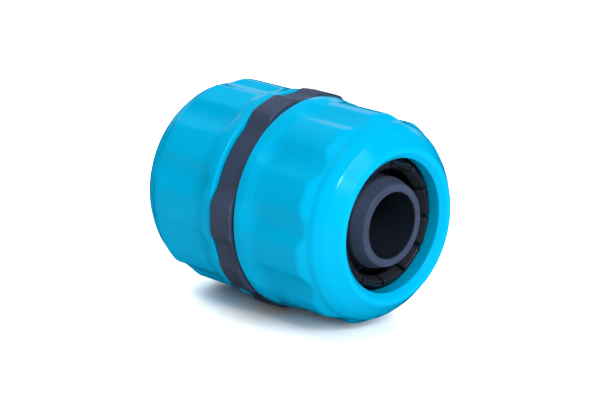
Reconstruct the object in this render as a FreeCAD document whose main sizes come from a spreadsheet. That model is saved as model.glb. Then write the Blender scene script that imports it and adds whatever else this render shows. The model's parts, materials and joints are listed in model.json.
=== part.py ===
import FreeCAD, Part
import math
import os

import Sketcher

# Hose mender for 19 mm hose. Millimetres, +Z up.
# The origin is the middle of the water bore, and +X runs along it.

doc = FreeCAD.newDocument("HoseMender")


# Driving dimensions

DIMENSIONS = {
    # Spigot that the hose is pushed over, from the water bore outwards
    "bore_radius": 6.9,
    "spigot_wall": 2.7,
    "spigot_setback": 1.5,
    "spigot_tip_drop": 1.0,
    "spigot_tip_length": 2.9,
    "ridge_count": 3,
    "ridge_pitch": 3.6,
    "ridge_land": 0.9,
    "ridge_depth": 0.5,
    # Web and threaded collars, round the space for the hose
    "web_thickness": 3.2,
    "hose_space": 5.6,
    "collar_wall": 3.4,
    "collar_length": 9.65,
    "collar_chamfer": 0.7,
    "collar_neck_length": 1.2,
    "collar_neck_depth": 0.6,
    # Lugged grip ring, measured from the nuts' rims
    "ring_width": 5.7,
    "ring_lug_rise": 0.6,
    "ring_gap_drop": 0.4,
    "ring_plain_drop": 1.05,
    "ring_places": 10,
    "ring_lug_arc": 17.0,
    "ring_gap_flank": 5.0,
    "ring_plain_flank": 9.0,
    # Union nut, outside
    "nut_gap": 0.45,
    "barrel_wall": 3.15,
    "rim_rise": 0.45,
    "rim_round": 0.5,
    "rim_band": 2.2,
    "rim_taper": 2.5,
    "shoulder_length": 2.6,
    "shoulder_drop": 1.55,
    "dome_length": 5.0,
    "dome_curve": 18.0,
    "nose_round": 1.2,
    "nose_slope": 47.0,
    "mouth_round": 1.9,
    "scoop_count": 10,
    "scoop_curve": 8.5,
    "scoop_depth": 1.0,
    "scoop_inset": 6.7,
    # Union nut, inside
    "thread_clearance": 0.3,
    "thread_chamfer": 0.7,
    "snap_clearance": 0.25,
    "snap_width": 0.7,
    "snap_overlap": 0.4,
    "cone_clearance": 0.35,
    # Clamping collet
    "collet_inset": 1.2,
    "collet_wall": 2.4,
    "collet_base_length": 2.4,
    "claw_count": 12,
    "claw_length": 9.3,
    "claw_setback": 2.8,
    "claw_tip_stand": 3.5,
    "claw_mouth_gap": 0.95,
    "claw_wall": 1.7,
    "claw_tip_flat": 0.6,
    "claw_lead": 1.9,
    "claw_slot": 0.9,
    "claw_slot_setback": 0.6,
    "tooth_count": 3,
    "tooth_land": 0.4,
    "tooth_height": 1.1,
    "tooth_back": 0.5,
    # How far each piece is turned about its own axis, in degrees
    "right_nut_turn": 11.0,
    "left_nut_turn": 1.0,
    "claw_turn": 25.0,
}

sheet = doc.addObject("Spreadsheet::Sheet", "Sizes")
for row, (alias, number) in enumerate(DIMENSIONS.items(), start=1):
    sheet.set(f"A{row}", alias)
    sheet.set(f"B{row}", str(number))
    sheet.setAlias(f"B{row}", alias)
doc.recompute()


class Size:
    """A length or an angle that carries its expression on the sheet and its value."""

    def __init__(self, expression, value):
        self.expression = expression
        self.value = value

    def __add__(self, other):
        other = as_size(other)
        return Size(f"({self.expression} + {other.expression})", self.value + other.value)

    def __sub__(self, other):
        other = as_size(other)
        return Size(f"({self.expression} - {other.expression})", self.value - other.value)

    def __mul__(self, other):
        other = as_size(other)
        return Size(f"({self.expression} * {other.expression})", self.value * other.value)

    def __truediv__(self, other):
        other = as_size(other)
        return Size(f"({self.expression} / {other.expression})", self.value / other.value)

    def __neg__(self):
        return Size(f"(-1 * {self.expression})", -self.value)


def as_size(number):
    return number if isinstance(number, Size) else Size(repr(float(number)), float(number))


def size(alias):
    return Size(f"Sizes.{alias}", float(sheet.get(alias)))


def count(alias):
    return int(round(float(sheet.get(alias))))


def cosine(angle):
    return Size(f"cos({angle.expression} * 1 deg)", math.cos(math.radians(angle.value)))


def sine(angle):
    return Size(f"sin({angle.expression} * 1 deg)", math.sin(math.radians(angle.value)))


def polar(radius, angle):
    return radius * cosine(angle), radius * sine(angle)


# Radii, from the water bore outwards

on_axis = as_size(0.0)
spigot_radius = size("bore_radius") + size("spigot_wall")
collar_inner = spigot_radius + size("hose_space")
collar_radius = collar_inner + size("collar_wall")
thread_radius = collar_radius + size("thread_clearance")
barrel_radius = thread_radius + size("barrel_wall")
rim_radius = barrel_radius + size("rim_rise")
ring_radii = {
    "lug": rim_radius + size("ring_lug_rise"),
    "gap": rim_radius - size("ring_gap_drop"),
    "plain": rim_radius - size("ring_plain_drop"),
}
collet_radius = collar_radius - size("collet_inset")
snap_radius = collet_radius - size("snap_overlap")
seat_radius = collet_radius + size("cone_clearance")
claw_tip_radius = spigot_radius + size("claw_tip_stand")
mouth_radius = claw_tip_radius + size("claw_mouth_gap")

# Stations along the axis, from the middle outwards

web_half = size("web_thickness") / 2
ring_half = size("ring_width") / 2
rim_face = ring_half + size("nut_gap")
collar_end = ring_half + size("collar_length")
snap_start = collar_end + size("snap_clearance")
snap_end = snap_start + size("snap_width")
collet_back = snap_end + size("snap_clearance")
claw_root = collet_back + size("collet_base_length")
claw_tip = claw_root + size("claw_length")
mouth = claw_tip + size("claw_setback")
dome_start = mouth - size("dome_length")
spigot_end = mouth - size("spigot_setback")
claw_slope = (collet_radius - claw_tip_radius) / size("claw_length")
throat_start = claw_root + (seat_radius - mouth_radius) / claw_slope


# Sketching helpers

def origin_part(body, role):
    return next(item for item in body.Origin.OriginFeatures if item.Role == role)


def sketch_on(body, role, name, offset=None):
    """A sketch on one of the body's origin planes, lifted off it by an offset if there is one."""
    sketch = body.newObject("Sketcher::SketchObject", name)
    sketch.AttachmentSupport = [(origin_part(body, role), "")]
    sketch.MapMode = "FlatFace"
    if offset is not None:
        sketch.setExpression(".AttachmentOffset.Base.z", offset.expression)
    doc.recompute()
    return sketch


def pin_point(sketch, geometry, point, across, up):
    """Holds one point of the sketch at a place that the sheet gives."""
    for kind, place in (("DistanceX", across), ("DistanceY", up)):
        index = sketch.addConstraint(
            Sketcher.Constraint(kind, -1, 1, geometry, point, place.value)
        )
        sketch.setExpression(f"Constraints[{index}]", place.expression)


def closed_outline(sketch, corners, bends=None):
    """Draws a closed outline through the corners.

    bends maps an edge's number to (radius, side): that edge is an arc which bulges to the left of
    its run where side is 1 and to the right where it is -1.
    """
    bends = bends or {}
    flat = [FreeCAD.Vector(across.value, up.value, 0) for across, up in corners]
    total = len(corners)
    starts, ends = [], []
    for edge in range(total):
        start, end = flat[edge], flat[(edge + 1) % total]
        if edge not in bends:
            index = sketch.addGeometry(Part.LineSegment(start, end), False)
            starts.append((index, 1))
            ends.append((index, 2))
            continue
        radius, side = bends[edge]
        chord = end - start
        right = FreeCAD.Vector(chord.y, -chord.x, 0).normalize()
        sagitta_arm = math.sqrt(max(radius.value ** 2 - (chord.Length / 2) ** 2, 0.0))
        centre = (start + end) * 0.5 + right * (side * sagitta_arm)
        first, last = (end, start) if side > 0 else (start, end)
        angles = [math.atan2(point.y - centre.y, point.x - centre.x) for point in (first, last)]
        circle = Part.Circle(centre, FreeCAD.Vector(0, 0, 1), radius.value)
        index = sketch.addGeometry(Part.ArcOfCircle(circle, *angles), False)
        starts.append((index, 2 if side > 0 else 1))
        ends.append((index, 1 if side > 0 else 2))
    for edge in range(total):
        sketch.addConstraint(
            Sketcher.Constraint("Coincident", *ends[edge - 1], *starts[edge])
        )
    for edge, (across, up) in enumerate(corners):
        pin_point(sketch, *starts[edge], across, up)
    for edge, (radius, _) in bends.items():
        index = sketch.addConstraint(
            Sketcher.Constraint("Radius", starts[edge][0], radius.value)
        )
        sketch.setExpression(f"Constraints[{index}]", radius.expression)
    doc.recompute()


def centred_circle(sketch, radius):
    circle = Part.Circle(FreeCAD.Vector(), FreeCAD.Vector(0, 0, 1), radius.value)
    drawn = sketch.addGeometry(circle, False)
    sketch.addConstraint(Sketcher.Constraint("Coincident", drawn, 3, -1, 1))
    index = sketch.addConstraint(Sketcher.Constraint("Radius", drawn, radius.value))
    sketch.setExpression(f"Constraints[{index}]", radius.expression)
    doc.recompute()


def new_body(label):
    body = doc.addObject("PartDesign::Body", label)
    body.Label = label
    return body


def revolve(body, name, sketch, kind="PartDesign::Revolution", axis="H_Axis"):
    feature = body.newObject(kind, name)
    feature.Profile = sketch
    feature.ReferenceAxis = (sketch, [axis])
    feature.Angle = 360
    doc.recompute()
    return feature


def repeat_round(body, name, feature, copies_alias):
    """Repeats a feature evenly round the X axis."""
    pattern = body.newObject("PartDesign::PolarPattern", name)
    pattern.Originals = [feature]
    pattern.Axis = (origin_part(body, "X_Axis"), [""])
    pattern.Angle = 360
    pattern.setExpression("Occurrences", size(copies_alias).expression)
    body.Tip = pattern
    doc.recompute()
    return pattern


def turn_in_place(body, turn, flipped):
    """Turns a piece about X by an angle, and end for end where it belongs to the left side."""
    body.Placement = FreeCAD.Placement(
        FreeCAD.Vector(), FreeCAD.Rotation(180 if flipped else 0, 0, turn.value)
    )
    body.setExpression(".Placement.Rotation.Roll", turn.expression)


# Centre body: grip ring, web, threaded collars and through spigot in one moulding

def ring_outline():
    """Corners and arcs round the grip ring.

    Ten places are spaced evenly. Two opposite places have no lug, and leave a wide plain stretch.
    """
    places = count("ring_places")
    pitch = as_size(360.0) / size("ring_places")
    half_arc = size("ring_lug_arc") / 2
    # No place is straight down, so the mender lies on the two lugs beside that line.
    plain = [places // 2 - 1, places - 1]
    corners, bends = [], {}

    def arc_to_next(radius):
        bends[len(corners) - 1] = (radius, -1)

    for place in range(places):
        if place in plain:
            continue
        middle = pitch * place
        before, after = (place - 1) % places, (place + 1) % places
        low = "plain" if before in plain else "gap"
        flank = size(f"ring_{low}_flank")
        corners.append(polar(ring_radii[low], middle - half_arc - flank))
        corners.append(polar(ring_radii["lug"], middle - half_arc))
        arc_to_next(ring_radii["lug"])
        corners.append(polar(ring_radii["lug"], middle + half_arc))
        low = "plain" if after in plain else "gap"
        flank = size(f"ring_{low}_flank")
        corners.append(polar(ring_radii[low], middle + half_arc + flank))
        arc_to_next(ring_radii[low])
    return corners, bends


def spigot_half():
    """Corners of one spigot's outside, from its blunt tip back to the web."""
    crest = spigot_radius
    root = crest - size("ridge_depth")
    station = spigot_end - size("spigot_tip_length")
    corners = [(spigot_end, crest - size("spigot_tip_drop")), (station, crest)]
    for _ in range(count("ridge_count")):
        land_end = station - size("ridge_land")
        station = station - size("ridge_pitch")
        corners += [(land_end, crest), (land_end, root), (station, crest)]
    return corners + [(web_half, crest)]


def make_centre_body():
    body = new_body("centre_body")

    ring = sketch_on(body, "YZ_Plane", "RingOutline")
    corners, bends = ring_outline()
    closed_outline(ring, corners, bends)
    centred_circle(ring, (collar_radius + collar_inner) / 2)
    pad = body.newObject("PartDesign::Pad", "GripRing")
    pad.Profile = ring
    pad.Midplane = True
    pad.setExpression("Length", size("ring_width").expression)
    doc.recompute()

    chamfer = size("collar_chamfer")
    neck_radius = collar_radius - size("collar_neck_depth")
    neck_end = ring_half + size("collar_neck_length")
    right = spigot_half() + [
        (web_half, collar_inner),
        (collar_end, collar_inner),
        (collar_end, collar_radius - chamfer),
        (collar_end - chamfer, collar_radius),
        (neck_end, collar_radius),
        (neck_end, neck_radius),
    ]
    left = [(-along, radius) for along, radius in reversed(right)]
    bore = [(-spigot_end, size("bore_radius")), (spigot_end, size("bore_radius"))]
    section = sketch_on(body, "XZ_Plane", "SpigotSection")
    closed_outline(section, bore + right + left)
    revolve(body, "SpigotsAndCollars", section)
    return body


# Union nut

def make_nut(label, turn, flipped):
    body = new_body(label)
    slope = size("nose_slope")
    nose_centre = mouth - size("nose_round")
    lip_radius = mouth_radius + size("mouth_round")
    lead = size("thread_chamfer")
    corners = [
        (rim_face, thread_radius + lead),
        (rim_face, rim_radius - size("rim_round")),
        (rim_face + size("rim_round"), rim_radius),
        (rim_face + size("rim_band"), rim_radius),
        (rim_face + size("rim_band") + size("rim_taper"), barrel_radius),
        (dome_start - size("shoulder_length"), barrel_radius),
        (dome_start, barrel_radius - size("shoulder_drop")),
        (
            nose_centre + size("nose_round") * sine(slope),
            lip_radius + size("nose_round") * cosine(slope),
        ),
        (mouth, lip_radius),
        (mouth - size("mouth_round"), mouth_radius),
        (throat_start, mouth_radius),
        (claw_root, seat_radius),
        (snap_end, seat_radius),
        (snap_end, snap_radius),
        (snap_start, snap_radius),
        (snap_start, thread_radius),
        (rim_face + lead, thread_radius),
    ]
    bends = {
        1: (size("rim_round"), 1),
        6: (size("dome_curve"), 1),
        7: (size("nose_round"), 1),
        8: (size("mouth_round"), 1),
    }
    section = sketch_on(body, "XZ_Plane", "NutSection")
    closed_outline(section, corners, bends)
    revolve(body, "Shell", section)

    # A ball-nosed scoop, parallel to the axis, runs out through the dome.
    scoop_axis = barrel_radius - size("scoop_depth") + size("scoop_curve")
    scoop_floor = scoop_axis - size("scoop_curve")
    scoop_start = rim_face + size("scoop_inset")
    scoop = sketch_on(body, "XZ_Plane", "ScoopSection")
    closed_outline(
        scoop,
        [
            (scoop_start - size("scoop_curve"), scoop_axis),
            (scoop_start, scoop_floor),
            (mouth, scoop_floor),
            (mouth, scoop_axis),
        ],
        {0: (size("scoop_curve"), -1)},
    )
    axis = scoop.addGeometry(
        Part.LineSegment(
            FreeCAD.Vector(0, scoop_axis.value, 0), FreeCAD.Vector(1, scoop_axis.value, 0)
        ),
        True,
    )
    scoop.addConstraint(Sketcher.Constraint("Coincident", axis, 1, 3, 1))
    scoop.addConstraint(Sketcher.Constraint("Horizontal", axis))
    axis_length = scoop.addConstraint(Sketcher.Constraint("DistanceX", axis, 1, axis, 2, 1.0))
    scoop.setDatum(axis_length, 1.0)
    doc.recompute()
    shell_volume = body.Shape.Volume
    groove = revolve(body, "Scoop", scoop, "PartDesign::Groove", "Axis0")
    pattern = repeat_round(body, "Scoops", groove, "scoop_count")
    if not pattern.Shape.Volume < shell_volume:
        raise RuntimeError(f"{label}: the grip scoops cut nothing")
    turn_in_place(body, turn, flipped)
    return body


# Clamping collet: a ring with slotted claws that narrow towards the mouth

def claw_ring(sketch, radius):
    """An even polygon with one corner at each slot between claws."""
    corners = []
    for claw in range(count("claw_count")):
        angle = as_size(360.0) / size("claw_count") * claw
        corners.append(polar(radius, angle))
    closed_outline(sketch, corners)


def make_collet(label, flipped):
    body = new_body(label)
    base = sketch_on(body, "YZ_Plane", "BaseCircle", collet_back)
    centred_circle(base, collet_radius)
    pad = body.newObject("PartDesign::Pad", "BaseRing")
    pad.Profile = base
    pad.setExpression("Length", size("collet_base_length").expression)
    doc.recompute()

    root = sketch_on(body, "YZ_Plane", "ClawRoots", claw_root)
    claw_ring(root, collet_radius)
    tip = sketch_on(body, "YZ_Plane", "ClawTips", claw_tip)
    claw_ring(tip, claw_tip_radius)
    loft = body.newObject("PartDesign::AdditiveLoft", "Claws")
    loft.Profile = root
    loft.Sections = [tip]
    loft.Ruled = True
    doc.recompute()

    def flank(along):
        """Radius of the claws' outer corners at a station along the axis."""
        return claw_tip_radius + (claw_tip - along) * claw_slope

    half_claw = as_size(180.0) / size("claw_count")
    inner_start = collet_radius - size("collet_wall")
    station = claw_tip - size("claw_lead")
    tooth_pitch = (station - claw_root) / size("tooth_count")
    corners = [
        (claw_tip, claw_tip_radius * cosine(half_claw) - size("claw_tip_flat")),
        (station, flank(station) - size("claw_wall") - size("tooth_height")),
    ]
    for tooth in range(count("tooth_count")):
        crest_end = station - size("tooth_land")
        foot = crest_end - size("tooth_back")
        crest = corners[-1][1]
        corners += [(crest_end, crest), (foot, flank(foot) - size("claw_wall"))]
        if tooth < count("tooth_count") - 1:
            station = station - tooth_pitch
            corners.append((station, flank(station) - size("claw_wall") - size("tooth_height")))
    corners += [
        (claw_root, inner_start),
        (collet_back, inner_start),
        (collet_back, on_axis),
        (claw_tip, on_axis),
    ]
    inside = sketch_on(body, "XZ_Plane", "InnerSection")
    closed_outline(inside, corners)
    solid_volume = body.Shape.Volume
    groove = revolve(body, "Inside", inside, "PartDesign::Groove")
    if not groove.Shape.Volume < solid_volume:
        raise RuntimeError(f"{label}: the inside cut nothing")

    # One slot lies along each corner of the polygon.
    slot = sketch_on(body, "XY_Plane", "SlotOutline")
    slot_start = claw_root + size("claw_slot_setback")
    past_tip = claw_tip + size("claw_slot")
    past_flank = collet_radius + size("claw_slot")
    closed_outline(
        slot,
        [
            (slot_start, spigot_radius),
            (past_tip, spigot_radius),
            (past_tip, past_flank),
            (slot_start, past_flank),
        ],
    )
    pocket = body.newObject("PartDesign::Pocket", "Slot")
    pocket.Profile = slot
    pocket.Midplane = True
    pocket.setExpression("Length", size("claw_slot").expression)
    doc.recompute()
    pattern = repeat_round(body, "Slots", pocket, "claw_count")
    if not pattern.Shape.Volume < groove.Shape.Volume:
        raise RuntimeError(f"{label}: the slots cut nothing")
    turn_in_place(body, size("claw_turn"), flipped)
    return body


doc.recompute()
centre_body = make_centre_body()
pieces = [centre_body]
pieces.append(make_nut("nut_right", size("right_nut_turn"), False))
pieces.append(make_nut("nut_left", size("left_nut_turn"), True))
pieces.append(make_collet("collet_right", False))
pieces.append(make_collet("collet_left", True))

for item in doc.Objects:
    if "Invalid" in item.State or "Error" in item.State:
        raise RuntimeError(f"{item.Name} did not build: {item.State}")
for piece in pieces:
    if piece.Shape.isNull() or not piece.Shape.isValid():
        raise RuntimeError(f"{piece.Label} has no valid shape")

os.makedirs("parts", exist_ok=True)
for piece in pieces:
    piece.Shape.exportStep(f"parts/{piece.Label}.step")
    box = piece.Shape.BoundBox
    print(piece.Label, len(piece.Shape.Solids), round(piece.Shape.Volume, 1), box)
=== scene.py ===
import json
import math
import bpy
import numpy as np
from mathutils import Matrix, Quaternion, Vector


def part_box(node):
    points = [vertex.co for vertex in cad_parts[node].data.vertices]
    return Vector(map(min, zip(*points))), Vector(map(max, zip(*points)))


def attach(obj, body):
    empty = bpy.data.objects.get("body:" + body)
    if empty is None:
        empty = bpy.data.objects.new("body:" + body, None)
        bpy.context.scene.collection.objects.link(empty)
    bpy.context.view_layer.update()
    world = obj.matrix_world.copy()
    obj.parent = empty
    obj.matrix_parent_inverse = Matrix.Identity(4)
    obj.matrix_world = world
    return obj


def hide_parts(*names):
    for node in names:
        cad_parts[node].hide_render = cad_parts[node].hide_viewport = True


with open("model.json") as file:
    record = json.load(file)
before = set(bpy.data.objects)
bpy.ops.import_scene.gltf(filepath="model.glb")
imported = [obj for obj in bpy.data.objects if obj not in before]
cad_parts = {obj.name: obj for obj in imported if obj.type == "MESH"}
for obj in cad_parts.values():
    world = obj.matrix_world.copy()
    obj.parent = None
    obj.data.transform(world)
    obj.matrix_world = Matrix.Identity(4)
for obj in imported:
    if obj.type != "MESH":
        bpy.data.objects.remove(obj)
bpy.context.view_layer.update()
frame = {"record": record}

# Hose mender for a 19 mm hose. The pieces' sizes are in millimetres and angles in degrees; the
# meshes are in metres. The water bore runs along X. An angle round it is 0 straight up, and
# grows towards -Y, the side that faces the camera.

mm = 0.001
tiny = 1e-6     # slack where two places are compared


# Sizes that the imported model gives

def nodeBox(node):
    # Lowest and highest corner of a node's box, divided by a millimetre's length.
    return [np.array(corner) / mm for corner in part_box(node)]


mountSizes = {mount["name"]: mount["dims"] for mount in frame["record"]["mounts"]}
boreRadius = mountSizes["water_bore"]["r_mm"]
spigotRadius = mountSizes["hose_spigot_right"]["r_mm"]
spigotEnd = nodeBox("centre_body")[1][0]
lugRadius = nodeBox("centre_body")[1][1]
floorHeight = nodeBox("centre_body")[0][2]
rimFace, mouthFace = (corner[0] for corner in nodeBox("nut_right"))
colletBack, clawTip = (corner[0] for corner in nodeBox("collet_right"))
colletRadius = nodeBox("collet_right")[1][1]
slidePerTurn = frame["record"]["behaviour"]["couplings"][0]["ratio"]     # metres to a radian
threadPitch = 2 * math.pi * slidePerTurn / mm
print("frame read: mouth at", round(mouthFace, 2), "mm, thread pitch", round(threadPitch, 3), "mm")


# Shape tools

def softMin(a, b, width):
    # The lower of two surfaces, rounded where they meet: half of their sum less the root of
    # their difference squared plus the width squared.
    return (a + b - np.sqrt((a - b) ** 2 + width ** 2)) / 2


def softMax(a, b, width):
    # The higher of two surfaces, rounded the same way, with the root added.
    return (a + b + np.sqrt((a - b) ** 2 + width ** 2)) / 2


def roundedLoop(corners, guard=0.05, arcStep=18.0):
    # Closed outline through corners (along, radius, rounding, spacing of the run that follows).
    # A corner becomes an arc between its two tangent points, and a run is cut at its spacing,
    # with a point a guard's length past each arc so that flat runs shade flat.
    # Gives the points' places along and out, and the number of the corner each follows.
    place = np.array([corner[:2] for corner in corners], float)
    rounding = np.array([corner[2] for corner in corners], float)
    back = np.roll(place, 1, axis=0) - place
    ahead = np.roll(place, -1, axis=0) - place
    back /= np.linalg.norm(back, axis=1)[:, None]
    ahead /= np.linalg.norm(ahead, axis=1)[:, None]
    opening = np.arccos(np.clip((back * ahead).sum(axis=1), -1, 1))
    reach = rounding / np.tan(opening / 2)
    arcStart = place + back * reach[:, None]
    arcEnd = place + ahead * reach[:, None]
    points, owners = [], []
    for index, corner in enumerate(corners):
        if rounding[index] > 0:
            bend = math.pi - opening[index]
            middle = back[index] + ahead[index]
            middle = place[index] + middle / np.linalg.norm(middle) * (
                rounding[index] / math.sin(opening[index] / 2))
            share = np.linspace(0, 1, 2 + int(math.degrees(bend) / arcStep))[:, None]
            arc = (np.sin((1 - share) * bend) * (arcStart[index] - middle)
                   + np.sin(share * bend) * (arcEnd[index] - middle)) / math.sin(bend) + middle
        else:
            arc = place[index][None, :]
        following = (index + 1) % len(corners)
        run = arcStart[following] - arcEnd[index]
        length = np.linalg.norm(run)
        inner = np.empty((0, 2))
        if length > 4 * guard:
            cuts = max(1, int(round((length - 2 * guard) / corner[3])))
            share = (guard + np.linspace(0, 1, cuts + 1) * (length - 2 * guard)) / length
            inner = arcEnd[index] + share[:, None] * run
        points += [arc, inner]
        owners.append(np.full(len(arc) + len(inner), index))
    points = np.concatenate(points)
    return points[:, 0], points[:, 1], np.concatenate(owners)


def evenAngles(places, perPlace, start, pull=0.0):
    # Angles once round from the middle of a place, with the same number in each. The pull draws
    # them together a quarter of a place away from each middle, by adding a sine to even steps.
    step = np.arange(places * perPlace) / perPlace
    return start + 360 / places * (step + pull / (4 * math.pi) * np.sin(4 * math.pi * step))


def roundSurface(along, radius, angles):
    # Points round the bore: place along it, and the distance out times the angle's sine and cosine.
    turn = np.radians(angles) + np.zeros_like(radius)
    return np.stack([along + np.zeros_like(radius), -radius * np.sin(turn), radius * np.cos(turn)], -1)


def tubeFaces(rows, columns, closedRows=True):
    # Four-sided faces of a grid whose columns close on themselves, and whose rows may too.
    row = np.arange(rows if closedRows else rows - 1)[:, None]
    column = np.arange(columns)[None, :]
    nextRow, nextColumn = (row + 1) % rows, (column + 1) % columns
    faces = np.stack([row * columns + column, row * columns + nextColumn,
                      nextRow * columns + nextColumn, nextRow * columns + column], -1)
    return faces.reshape(-1, 4)


def outwards(points, faces):
    # The faces, turned over where the volume that they enclose comes out negative.
    a, b, c, d = (points[faces[:, k]] for k in range(4))
    volume = (np.cross(b - a, c - a) * a + np.cross(c - a, d - a) * a).sum()
    return faces if volume > 0 else faces[:, ::-1]


def makePiece(name, shells, flipped, material, body, node):
    # One mesh from closed shells (points in millimetres, faces, end caps). A flipped piece is
    # turned half round the vertical, so that it faces the other hose.
    points, corners, starts, count, loops = [], [], [], 0, 0
    for place, faces, caps in shells:
        faces = outwards(place, faces)
        points.append(place)
        corners.append((faces + count).ravel())
        starts.append(loops + 4 * np.arange(len(faces)))
        loops += faces.size
        for cap in caps:
            corners.append(cap + count)
            starts.append(np.array([loops]))
            loops += len(cap)
        count += len(place)
    points = np.concatenate(points) * mm
    if flipped:
        points = points * np.array([-1.0, -1.0, 1.0])
    corners, starts = np.concatenate(corners), np.concatenate(starts)
    mesh = bpy.data.meshes.new(name)
    mesh.vertices.add(len(points))
    mesh.vertices.foreach_set("co", points.astype(np.float32).ravel())
    mesh.loops.add(len(corners))
    mesh.loops.foreach_set("vertex_index", corners.astype(np.int32))
    mesh.polygons.add(len(starts))
    mesh.polygons.foreach_set("loop_start", starts.astype(np.int32))
    mesh.update(calc_edges=True)
    mesh.validate()
    mesh.shade_smooth()
    mesh.materials.append(material)
    piece = bpy.data.objects.new(name, mesh)
    bpy.context.scene.collection.objects.link(piece)
    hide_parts(node)
    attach(piece, body)
    print(name, "made:", len(points), "points")


# Screw thread, shared by the nuts and the collars

thread = {
    "height": 0.45,          # crest above the middle, and root below it
    "fullness": 1.5,         # how square the crests are
    "collarRadius": 18.6,    # middle of the outside thread
    "nutRadius": 18.9,       # middle of the inside thread
    "ease": 0.12,            # rounding where a cone cuts the crests
}


def threadHeight(along, angles):
    # A sine of one turn per pitch, flattened by a tanh, that climbs along the bore as it turns.
    wave = np.sin(2 * math.pi * (along / threadPitch - angles / 360))
    return thread["height"] * np.tanh(thread["fullness"] * wave) / math.tanh(thread["fullness"])


# Materials

def shaderTree(name):
    # A new material with its node tree and its main shader.
    material = bpy.data.materials.new(name)
    material.use_nodes = True
    tree = material.node_tree
    return material, tree, tree.nodes["Principled BSDF"]


def noiseFrom(tree, vector, scale, detail, roughness=0.5):
    # Sum of noise octaves, the first of them with the scale's number of bumps to the metre.
    noise = tree.nodes.new("ShaderNodeTexNoise")
    noise.inputs["Scale"].default_value = scale
    noise.inputs["Detail"].default_value = detail
    noise.inputs["Roughness"].default_value = roughness
    tree.links.new(vector, noise.inputs["Vector"])
    return noise.outputs["Fac"]


def rampFrom(tree, factor, stops):
    # Straight blend of colour between two (place, colour) stops.
    ramp = tree.nodes.new("ShaderNodeValToRGB")
    for element, (place, colour) in zip(ramp.color_ramp.elements, stops):
        element.position = place
        element.color = (*colour, 1)
    tree.links.new(factor, ramp.inputs["Fac"])
    return ramp.outputs["Color"]


def spreadFrom(tree, factor, low, high, start=0.0, end=1.0):
    # Low where the factor is at the start, high at the end, and a straight line between.
    spread = tree.nodes.new("ShaderNodeMapRange")
    spread.inputs["From Min"].default_value = start
    spread.inputs["From Max"].default_value = end
    spread.inputs["To Min"].default_value = low
    spread.inputs["To Max"].default_value = high
    tree.links.new(factor, spread.inputs["Value"])
    return spread.outputs["Result"]


def bumpFrom(tree, height, distance, strength, below=None):
    # Normal tilted by the slope of a pattern whose full height is the distance in metres.
    bump = tree.nodes.new("ShaderNodeBump")
    bump.inputs["Distance"].default_value = distance
    bump.inputs["Strength"].default_value = strength
    tree.links.new(height, bump.inputs["Height"])
    if below is not None:
        tree.links.new(below, bump.inputs["Normal"])
    return bump.outputs["Normal"]


def paintShadeInBore(tree, vector, colour, radii, share):
    # Painted shade inside the water bore. Colour times a factor of the distance from the bore's
    # axis: the share inside the first radius, 1 outside the second, and a straight rise between them.
    across = tree.nodes.new("ShaderNodeVectorMath")
    across.operation = "MULTIPLY"
    across.inputs[1].default_value = (0, 1, 1)
    tree.links.new(vector, across.inputs[0])
    length = tree.nodes.new("ShaderNodeVectorMath")
    length.operation = "LENGTH"
    tree.links.new(across.outputs["Vector"], length.inputs[0])
    factor = spreadFrom(tree, length.outputs["Value"], share, 1.0, radii[0] * mm, radii[1] * mm)
    scaled = tree.nodes.new("ShaderNodeVectorMath")
    scaled.operation = "SCALE"
    tree.links.new(colour, scaled.inputs[0])
    tree.links.new(factor, scaled.inputs["Scale"])
    return scaled.outputs["Vector"]


def mouldedPlastic(name, values):
    # Moulded plastic: noise for a slow drift of colour and a slight wave, finer noise for the
    # gloss, and a shallow bump for the skin.
    material, tree, shader = shaderTree(name)
    coordinates = tree.nodes.new("ShaderNodeTexCoord").outputs["Object"]
    drift = noiseFrom(tree, coordinates, values["driftScale"], detail=3)
    colour = rampFrom(tree, drift, values["colours"])
    # where asked, painted shade darkens the colour inside the water bore
    if "paintedShadeRadii" in values:
        colour = paintShadeInBore(tree, coordinates, colour, values["paintedShadeRadii"], values["paintedShadeShare"])
    tree.links.new(colour, shader.inputs["Base Color"])
    grain = noiseFrom(tree, coordinates, values["grainScale"], detail=4, roughness=0.6)
    tree.links.new(spreadFrom(tree, grain, *values["gloss"]), shader.inputs["Roughness"])
    bumps = noiseFrom(tree, coordinates, values["skinScale"], detail=2)
    skin = bumpFrom(tree, bumps, values["skinDepth"] * mm, values["skinStrength"])
    wave = bumpFrom(tree, drift, values["waveDepth"] * mm, 1.0, below=skin)
    tree.links.new(wave, shader.inputs["Normal"])
    shader.inputs["Specular IOR Level"].default_value = values["specular"]
    shader.inputs["Specular Tint"].default_value = (*values["tint"], 1)
    return material


turquoise = mouldedPlastic("turquoise", {
    "colours": [(0.3, (0.0, 0.222, 0.390)), (0.7, (0.0, 0.236, 0.408))],
    "driftScale": 90, "grainScale": 2600, "skinScale": 1500,
    "gloss": (0.10, 0.16), "skinDepth": 0.01, "skinStrength": 0.1, "waveDepth": 0.02,
    "specular": 0.3, "tint": (0.35, 0.9, 1.0),
})
graphite = mouldedPlastic("graphite", {
    "colours": [(0.3, (0.021, 0.029, 0.053)), (0.7, (0.028, 0.038, 0.069))],
    "paintedShadeRadii": (boreRadius, boreRadius + 0.3), "paintedShadeShare": 0.25,     # painted shade that darkens the water bore
    "driftScale": 140, "grainScale": 3200, "skinScale": 2400,
    "gloss": (0.42, 0.60), "skinDepth": 0.02, "skinStrength": 0.5, "waveDepth": 0.02,
    "specular": 0.5, "tint": (0.5, 0.75, 1.0),
})
clawGrey = mouldedPlastic("clawGrey", {
    "colours": [(0.3, (0.008, 0.008, 0.011)), (0.7, (0.012, 0.012, 0.016))],
    "driftScale": 160, "grainScale": 3000, "skinScale": 1800,
    "gloss": (0.28, 0.40), "skinDepth": 0.01, "skinStrength": 0.4, "waveDepth": 0.02,
    "specular": 0.5, "tint": (0.5, 0.75, 1.0),
})
print("materials made")


# Union nuts

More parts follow.
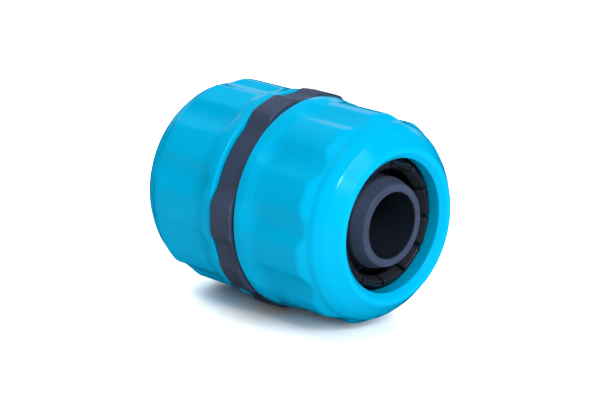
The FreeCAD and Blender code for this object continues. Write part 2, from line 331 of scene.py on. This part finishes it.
nut = {
    "rimRadius": 22.5, "rimBand": 2.2, "rimTaper": 2.5, "rimRounding": 0.5,
    "bandRounding": 1.5, "taperRounding": 2.0,
    "barrelRadius": 22.05, "barrelEnd": 20.6, "barrelRounding": 1.9,
    "shoulderEnd": 22.6, "shoulderRadius": 20.85, "shoulderRounding": 1.2,  # foot of the lobes' slope
    "domeStart": 23.7, "domeStartRadius": 20.52, "valleyRounding": 2.2,     # shallow valley up to here
    "domeMiddle": 25.5, "domeRadius": 19.15, "domeRounding": 2.6,
    "noseRadius": 16.35, "lipRadius": 15.4, "lipRounding": 1.15,
    "mouthRadius": 14.05, "mouthSetback": 1.25, "mouthRounding": 0.35,
    "throatStart": 24.15, "seatStart": 16.1, "seatRadius": 17.75, "seatRounding": 0.3,
    "snapStart": 12.75, "snapEnd": 13.45, "snapRadius": 17.0, "snapRounding": 0.2, "snapFoot": 0.1,
    "entryChamfer": 0.7, "reliefLength": 0.65,
    "scoops": 10, "scoopDepth": 1.0, "scoopCurve": 8.5, "scoopInset": 6.7, "scoopEdge": 0.45,
    "rightTurn": 11.0, "leftTurn": 1.0,     # angle of the first scoop
    "perScoop": 48, "anglePull": 0.6,       # points to a scoop, and how far they crowd at its edges
}


def scoopFloor(along, angles, turn):
    # Distance from the bore's axis to the wall of the nearest scoop: a tube lying along the
    # nut, with a ball at its inner end, met by a line going outwards at each angle.
    pitch = 360 / nut["scoops"]
    off = np.radians((angles - turn + pitch / 2) % pitch - pitch / 2)
    axisRadius = nut["barrelRadius"] - nut["scoopDepth"] + nut["scoopCurve"]
    short = np.maximum(rimFace + nut["scoopInset"] - along, 0)
    ballSquare = nut["scoopCurve"] ** 2 - short ** 2
    inside = ballSquare - (axisRadius * np.sin(off)) ** 2
    return axisRadius * np.cos(off) - np.sqrt(np.maximum(inside, 0))


def makeNut(side, turn, flipped):
    # The nut's section, turned round the bore. Outside, the scoops cut it by a soft minimum.
    # Inside, the thread's height is added and the two end cones cut it by a soft maximum.
    # Each corner holds its place along, radius, rounding and the spacing of points after it.
    n = nut
    outside = [
        (rimFace, n["rimRadius"], n["rimRounding"], 1.0),
        (rimFace + n["rimBand"], n["rimRadius"], n["bandRounding"], 0.5),
        (rimFace + n["rimBand"] + n["rimTaper"], n["barrelRadius"], n["taperRounding"], 0.45),
        (rimFace + n["rimBand"] + 2 * n["rimTaper"], n["barrelRadius"], 0, 0.8),
        (n["barrelEnd"], n["barrelRadius"], n["barrelRounding"], 0.25),
        (n["shoulderEnd"], n["shoulderRadius"], n["shoulderRounding"], 0.3),
        (n["domeStart"], n["domeStartRadius"], n["valleyRounding"], 0.3),
        (n["domeMiddle"], n["domeRadius"], n["domeRounding"], 0.4),
        (mouthFace, n["noseRadius"], n["lipRounding"], 0.3),
        (mouthFace, n["lipRadius"], n["lipRounding"], 0.3),
    ]
    inside = [
        (mouthFace - n["mouthSetback"], n["mouthRadius"], n["mouthRounding"], 0.8),
        (n["throatStart"], n["mouthRadius"], n["seatRounding"], 1.0),
        (n["seatStart"], n["seatRadius"], n["seatRounding"], 0.8),
        (n["snapEnd"], n["seatRadius"], n["snapFoot"], 0.3),
        (n["snapEnd"], n["snapRadius"], n["snapRounding"], 0.3),
        (n["snapStart"], n["snapRadius"], n["snapRounding"], 0.5),
        (n["snapStart"], thread["nutRadius"], 0, 0.2),
        (rimFace, thread["nutRadius"], 0, 0.3),
    ]
    threadRun = len(outside) + len(inside) - 2
    along, radius, owner = roundedLoop(outside + inside)
    angles = evenAngles(n["scoops"], n["perScoop"], turn, n["anglePull"])
    column = along[:, None]
    surface = radius[:, None] + np.zeros((1, len(angles)))
    cut = owner < len(outside) - 1
    surface[cut] = softMin(surface[cut], scoopFloor(column[cut], angles[None, :], turn), n["scoopEdge"])
    bore = owner == threadRun
    crests = thread["nutRadius"] + threadHeight(column[bore], angles[None, :])
    entry = thread["nutRadius"] + n["entryChamfer"] - (column[bore] - rimFace)
    relief = (thread["nutRadius"] + thread["height"]
              - np.maximum(n["snapStart"] - n["reliefLength"] - column[bore], 0))
    surface[bore] = softMax(softMax(crests, entry, thread["ease"]), relief, thread["ease"])
    surface[owner == threadRun + 1] = thread["nutRadius"] + n["entryChamfer"]
    points = roundSurface(column, surface, angles).reshape(-1, 3)
    shell = (points, tubeFaces(len(along), len(angles)), [])
    makePiece(f"{side}Nut", [shell], flipped, turquoise,
              f"{side}_nut", f"nut_{side}")


makeNut("right", nut["rightTurn"], False)
makeNut("left", nut["leftTurn"], True)


# Centre body: grip ring, web, threaded collars and the spigot right through

centre = {
    "tipDrop": 1.0, "tipLength": 2.9, "tipRounding": 0.45, "tipFootRounding": 0.4, "boreRounding": 0.3,
    "ridges": 3, "ridgePitch": 3.6, "ridgeLand": 0.9, "ridgeDepth": 0.5,
    "ridgeRounding": 0.12, "ridgeFootRounding": 0.3,
    "webHalf": 1.6, "webRounding": 0.6, "boreSpacing": 6.0,
    "collarInner": 15.2, "collarEnd": 12.5, "collarChamfer": 0.7, "collarRounding": 0.25,
    "neckEnd": 4.05, "neckRadius": 18.0, "neckRounding": 0.2, "neckSlope": 1.5,
    "ringHalf": 2.85, "ringRounding": 0.3,
    "lugs": 10, "bareLugs": (1, 6), "lugHalf": 8.5, "gapFlank": 5.0, "plainFlank": 9.0,
    "gapDrop": 0.9, "plainDrop": 1.55, "cornerSoftness": 1.6, "angleStep": 0.1,
    "perLug": 24, "anglePull": 0.5,         # points to a lug, and how far they crowd at its flanks
}


def ringRadius(angles):
    # Radius of the grip ring: drops at the key angles of each lug joined by straight flanks,
    # with the corners softened by a running mean. Lug 0 is half a step past straight up.
    c = centre
    pitch = 360 / c["lugs"]
    keyAngles, keyDrops = [], []
    for place in range(c["lugs"]):
        if place in c["bareLugs"]:
            continue
        middle = pitch * (place + 0.5)
        for direction in (-1, 1):
            bare = (place + direction) % c["lugs"] in c["bareLugs"]
            edge = middle + direction * c["lugHalf"]
            keyAngles += [edge, edge + direction * (c["plainFlank"] if bare else c["gapFlank"])]
            keyDrops += [0.0, c["plainDrop"] if bare else c["gapDrop"]]
    fine = np.arange(0, 360, c["angleStep"])
    drop = np.interp(fine, keyAngles, keyDrops, period=360)
    width = int(round(c["cornerSoftness"] / c["angleStep"]))
    window = np.ones(width) / width
    wrapped = np.concatenate([drop[-width:], drop, drop[:width]])
    softened = np.convolve(wrapped, window, "same")[width:-width]
    return lugRadius - np.interp(angles % 360, fine, softened, period=360)


def centreOutline():
    # Corners of the right half's section, from the spigot's tip back to the grip ring: place
    # along, radius, rounding and spacing. Each ridge is a land, a step down and a ramp up.
    c = centre
    corners = [
        (spigotEnd, boreRadius, c["boreRounding"], 0.8),
        (spigotEnd, spigotRadius - c["tipDrop"], c["tipRounding"], 1.2),
        (spigotEnd - c["tipLength"], spigotRadius, c["tipFootRounding"], 0.5),
    ]
    station = spigotEnd - c["tipLength"]
    for ridge in range(c["ridges"]):
        landEnd = station - c["ridgeLand"]
        station -= c["ridgePitch"]
        corners += [
            (landEnd, spigotRadius, c["ridgeRounding"], 0.3),
            (landEnd, spigotRadius - c["ridgeDepth"], c["ridgeRounding"], 2.0),
            (station, spigotRadius, c["ridgeFootRounding"], 0.8),
        ]
    corners += [
        (c["webHalf"], spigotRadius, c["webRounding"], 2.0),
        (c["webHalf"], c["collarInner"], c["webRounding"], 4.0),
        (c["collarEnd"], c["collarInner"], c["collarRounding"], 0.8),
        (c["collarEnd"], thread["collarRadius"] - c["collarChamfer"], 0, 0.22),
        (c["neckEnd"], thread["collarRadius"] - c["collarChamfer"], 0, 0.6),
        (c["ringHalf"], c["neckRadius"], c["neckRounding"], 1.2),
        (c["ringHalf"], lugRadius, c["ringRounding"], 1.2),
    ]
    return corners


def makeCentre():
    # The section turned round the bore. The ring's part of it moves out and in with the lugs,
    # and the thread's part follows the thread, cut by the neck's and the end's cones.
    c = centre
    right = centreOutline()
    runs = len(right)
    steps = [corner[3] for corner in right]
    left = [(-along, radius, rounding, step) for (along, radius, rounding, _), step
            in zip(reversed(right), [steps[-1]] + list(reversed(steps[:-1])))]
    left[-1] = (*left[-1][:3], c["boreSpacing"])
    along, radius, owner = roundedLoop(right + left)
    angles = evenAngles(c["lugs"], c["perLug"], 180 / c["lugs"], c["anglePull"])
    column = along[:, None]
    surface = radius[:, None] + np.zeros((1, len(angles)))
    rise = np.clip((radius - c["neckRadius"]) / (lugRadius - c["ringRounding"] - c["neckRadius"]), 0, 1)
    rise = np.where(np.abs(along) <= c["ringHalf"] + tiny, rise, 0)[:, None]
    ring = (owner >= runs - 2) & (owner < runs + 2)         # the last two corners of each half
    surface = surface + np.where(ring[:, None], rise * (ringRadius(angles)[None, :] - lugRadius), 0)
    threadRun = runs - 4                                    # the collar's run, and its mirror
    threaded = (owner == threadRun) | (owner == 2 * runs - 2 - threadRun)
    outward = np.sign(column[threaded])
    distance = np.abs(column[threaded])
    crests = thread["collarRadius"] + threadHeight(distance, outward * angles[None, :])
    neckCone = c["neckRadius"] + c["neckSlope"] * np.maximum(distance - c["neckEnd"], 0)
    endCone = thread["collarRadius"] - c["collarChamfer"] + c["collarEnd"] - distance
    surface[threaded] = softMin(softMin(crests, neckCone, thread["ease"]), endCone, thread["ease"])
    points = roundSurface(column, surface, angles).reshape(-1, 3)
    shell = (points, tubeFaces(len(along), len(angles)), [])
    makePiece("centreBody", [shell], False, graphite, "centre", "centre_body")


makeCentre()


# Clamping collets

collet = {
    "claws": 12, "slotAngle": 25.0, "slotWidth": 0.9,
    "baseLength": 2.4, "wall": 2.4, "baseRounding": 0.2,
    "tipRadius": 13.1, "tipFlat": 0.6, "lead": 1.9,
    "clawWall": 1.7, "teeth": 3, "toothLand": 0.4, "toothHeight": 1.1, "toothBack": 0.5,
    "edge": 0.22, "edgeSteps": 4, "rootSink": 0.5, "rows": 56, "perSide": 7,
    "perClaw": 20, "baseSpacing": 0.8,
}
clawRoot = colletBack + collet["baseLength"]
clawSlope = (colletRadius - collet["tipRadius"]) / (clawTip - clawRoot)
clawHalf = math.radians(180 / collet["claws"])


def clawOutside(along):
    # Outer radius of the claws' corners: the tip's, plus the slope times the way to the tip.
    return collet["tipRadius"] + (clawTip - along) * clawSlope


def clawInside(along):
    # Inner radius of the claws: straight between the root, the teeth's feet and crests, and
    # the lead at the tip, whose places follow from the claw's slope.
    c = collet
    crestStart = clawTip - c["lead"]
    pitch = (crestStart - clawRoot) / c["teeth"]
    places = [(clawRoot, colletRadius - c["wall"])]
    for tooth in reversed(range(c["teeth"])):
        start = crestStart - tooth * pitch
        crest = clawOutside(start) - c["clawWall"] - c["toothHeight"]
        foot = start - c["toothLand"] - c["toothBack"]
        places += [(foot, clawOutside(foot) - c["clawWall"]),
                   (start - c["toothLand"], crest),
                   (start, crest)]
    places.append((clawTip, c["tipRadius"] * math.cos(clawHalf) - c["tipFlat"]))
    stations, radii = zip(*places)
    return np.interp(along, stations, radii)


def clawShell(angle):
    # One claw: a four-sided bar swept along the bore, drawn in at its tip by a quarter circle.
    # Its section lies between the inner arc and the flat outer facet, and its two sides are
    # parallel to the slots' middles.
    c = collet
    even = np.linspace(0, 1, c["rows"])
    stations = clawRoot - c["rootSink"] + even * (clawTip - c["edge"] - clawRoot + c["rootSink"])
    quarter = np.linspace(0, math.pi / 2, c["edgeSteps"] + 1)[1:]
    stations = np.concatenate([stations, clawTip - c["edge"] * (1 - np.sin(quarter))])
    inset = np.concatenate([np.zeros(c["rows"]), c["edge"] * (1 - np.cos(quarter))])
    # points once round a square from -1 to 1
    side = np.linspace(-1, 1, c["perSide"])[:-1]
    across = np.concatenate([side, np.ones(len(side)), -side, -np.ones(len(side))])
    out = np.concatenate([-np.ones(len(side)), side, np.ones(len(side)), -side])
    outer = clawOutside(stations) * math.cos(clawHalf)
    inner = clawInside(stations)
    middle = (outer + inner) / 2
    depth = (outer - inner) / 2 - inset
    height = middle[:, None] + depth[:, None] * out[None, :]
    width = height * math.tan(clawHalf) - c["slotWidth"] / 2 / math.cos(clawHalf) - inset[:, None]
    sideways = width * across[None, :]
    # the inner side is bent from the flat to a circle, fully at its face and less towards the middle
    drop = np.sqrt(np.maximum(height ** 2 - sideways ** 2, 0)) - height
    height = height + drop * np.maximum(-out[None, :], 0)
    turn = angle + np.degrees(np.arctan2(sideways, height))
    points = roundSurface(stations[:, None], np.hypot(height, sideways), turn)
    columns = len(across)
    ends = [np.arange(columns)[::-1], np.arange(columns) + (len(stations) - 1) * columns]
    return points.reshape(-1, 3), tubeFaces(len(stations), columns, False), ends


def makeCollet(side, flipped):
    # The base ring's section turned round the bore, with the claws rooted in it.
    c = collet
    inner = colletRadius - c["wall"]
    corners = [(colletBack, colletRadius), (clawRoot, colletRadius), (clawRoot, inner), (colletBack, inner)]
    along, radius, _ = roundedLoop([(*corner, c["baseRounding"], c["baseSpacing"]) for corner in corners])
    angles = evenAngles(c["claws"], c["perClaw"], 0.0)
    points = roundSurface(along[:, None], radius[:, None] + np.zeros((1, len(angles))), angles)
    shells = [(points.reshape(-1, 3), tubeFaces(len(along), len(angles)), [])]
    pitch = 360 / c["claws"]
    shells += [clawShell(c["slotAngle"] + pitch * (claw + 0.5)) for claw in range(c["claws"])]
    makePiece(f"{side}Collet", shells, flipped, clawGrey,
              f"{side}_collet", f"collet_{side}")


makeCollet("right", False)
makeCollet("left", True)


# Floor, light and camera, with places and sizes in metres

studio = {
    "floorSize": 6.0, "floorColour": (0.95, 0.955, 0.96), "floorRoughness": 0.9,
    "worldColour": (1.0, 1.0, 1.0), "worldStrength": 0.31,
    "azimuth": 44.3, "elevation": 17.5, "distance": 0.4694, "aim": (0.0005, 0.0, -0.0011),
    "lens": 133.7, "sensor": 36,            # in millimetres
    "clip": (0.01, 20),
}
# Each lamp's direction and distance from the origin, its size, power in watts and roll. Only the
# last three are mirrored in the gloss, where they draw the highlights.
lamps = {
    "sideLight": {"azimuth": 82, "elevation": 19, "distance": 1.0, "size": (0.75, 0.85),
                  "power": 18.5, "roll": 0, "glints": False},
    "topLight": {"azimuth": 345, "elevation": 75, "distance": 1.0, "size": (0.6, 0.6),
                 "power": 5, "roll": 0, "glints": False},
    "skyLight": {"azimuth": 236, "elevation": 34, "distance": 1.2, "size": (1.5, 0.8),
                 "power": 36, "roll": 0, "glints": False},
    "rimLight": {"azimuth": 225, "elevation": 14, "distance": 1.2, "size": (1.6, 0.3),
                 "power": 0.7, "roll": 0, "glints": True},
    "streakLight": {"azimuth": 80, "elevation": 49, "distance": 1.0, "size": (0.02, 0.75),
                    "power": 2.2, "roll": -62, "glints": True},
    "glintLight": {"azimuth": 60, "elevation": 38, "distance": 1.0, "size": (0.08, 0.16),
                   "power": 1.8, "roll": -50, "glints": True},
}


def makeFloor():
    # One square in the plane of the lowest lugs, its middle under the origin.
    half = studio["floorSize"] / 2
    height = floorHeight * mm
    corners = [(x * half, y * half, height) for x, y in ((-1, -1), (1, -1), (1, 1), (-1, 1))]
    mesh = bpy.data.meshes.new("floor")
    mesh.from_pydata(corners, [], [(0, 1, 2, 3)])
    material, _, shader = shaderTree("floor")
    shader.inputs["Base Color"].default_value = (*studio["floorColour"], 1)
    shader.inputs["Roughness"].default_value = studio["floorRoughness"]
    mesh.materials.append(material)
    floor = bpy.data.objects.new("floor", mesh)
    bpy.context.scene.collection.objects.link(floor)
    floor.visible_glossy = False        # the pale floor isn't mirrored in the gloss


def makeRoom():
    # Even light from all round, which isn't mirrored in the gloss either.
    world = bpy.data.worlds.new("studio")
    world.use_nodes = True
    background = world.node_tree.nodes["Background"]
    background.inputs["Color"].default_value = (*studio["worldColour"], 1)
    background.inputs["Strength"].default_value = studio["worldStrength"]
    bpy.context.scene.world = world
    world.cycles_visibility.glossy = False
    bpy.context.scene.view_settings.view_transform = "Standard"     # keeps the strong turquoise


def viewDirection(azimuth, elevation):
    # From the mender towards a viewer: azimuth 0 is on the -Y side, and 90 on the +X side.
    around, up = math.radians(azimuth), math.radians(elevation)
    return Vector((math.sin(around) * math.cos(up), -math.cos(around) * math.cos(up), math.sin(up)))


def softBox(name, values):
    # A flat light facing the origin from its direction times its distance, rolled about that line.
    data = bpy.data.lights.new(name, "AREA")
    data.shape = "RECTANGLE"
    data.size, data.size_y = values["size"]
    data.energy = values["power"]
    lamp = bpy.data.objects.new(name, data)
    back = viewDirection(values["azimuth"], values["elevation"])
    lamp.location = back * values["distance"]
    lamp.rotation_mode = "QUATERNION"
    facing = (-back).to_track_quat("-Z", "Y")
    lamp.rotation_quaternion = facing @ Quaternion((0, 0, 1), math.radians(values["roll"]))
    lamp.visible_glossy = values["glints"]
    bpy.context.scene.collection.objects.link(lamp)


def makeCamera():
    # A camera at its direction times its distance from the origin, turned to look at the aim.
    data = bpy.data.cameras.new("camera")
    data.sensor_width = studio["sensor"]
    data.lens = studio["lens"]
    data.clip_start, data.clip_end = studio["clip"]
    camera = bpy.data.objects.new("camera", data)
    back = viewDirection(studio["azimuth"], studio["elevation"])
    camera.location = back * studio["distance"]
    camera.rotation_mode = "QUATERNION"
    aim = Vector(studio["aim"])
    camera.rotation_quaternion = (aim - camera.location).to_track_quat("-Z", "Y")
    bpy.context.scene.collection.objects.link(camera)
    bpy.context.scene.camera = camera


makeFloor()
makeRoom()
for lampName, lampValues in lamps.items():
    softBox(lampName, lampValues)
makeCamera()
print("studio made")
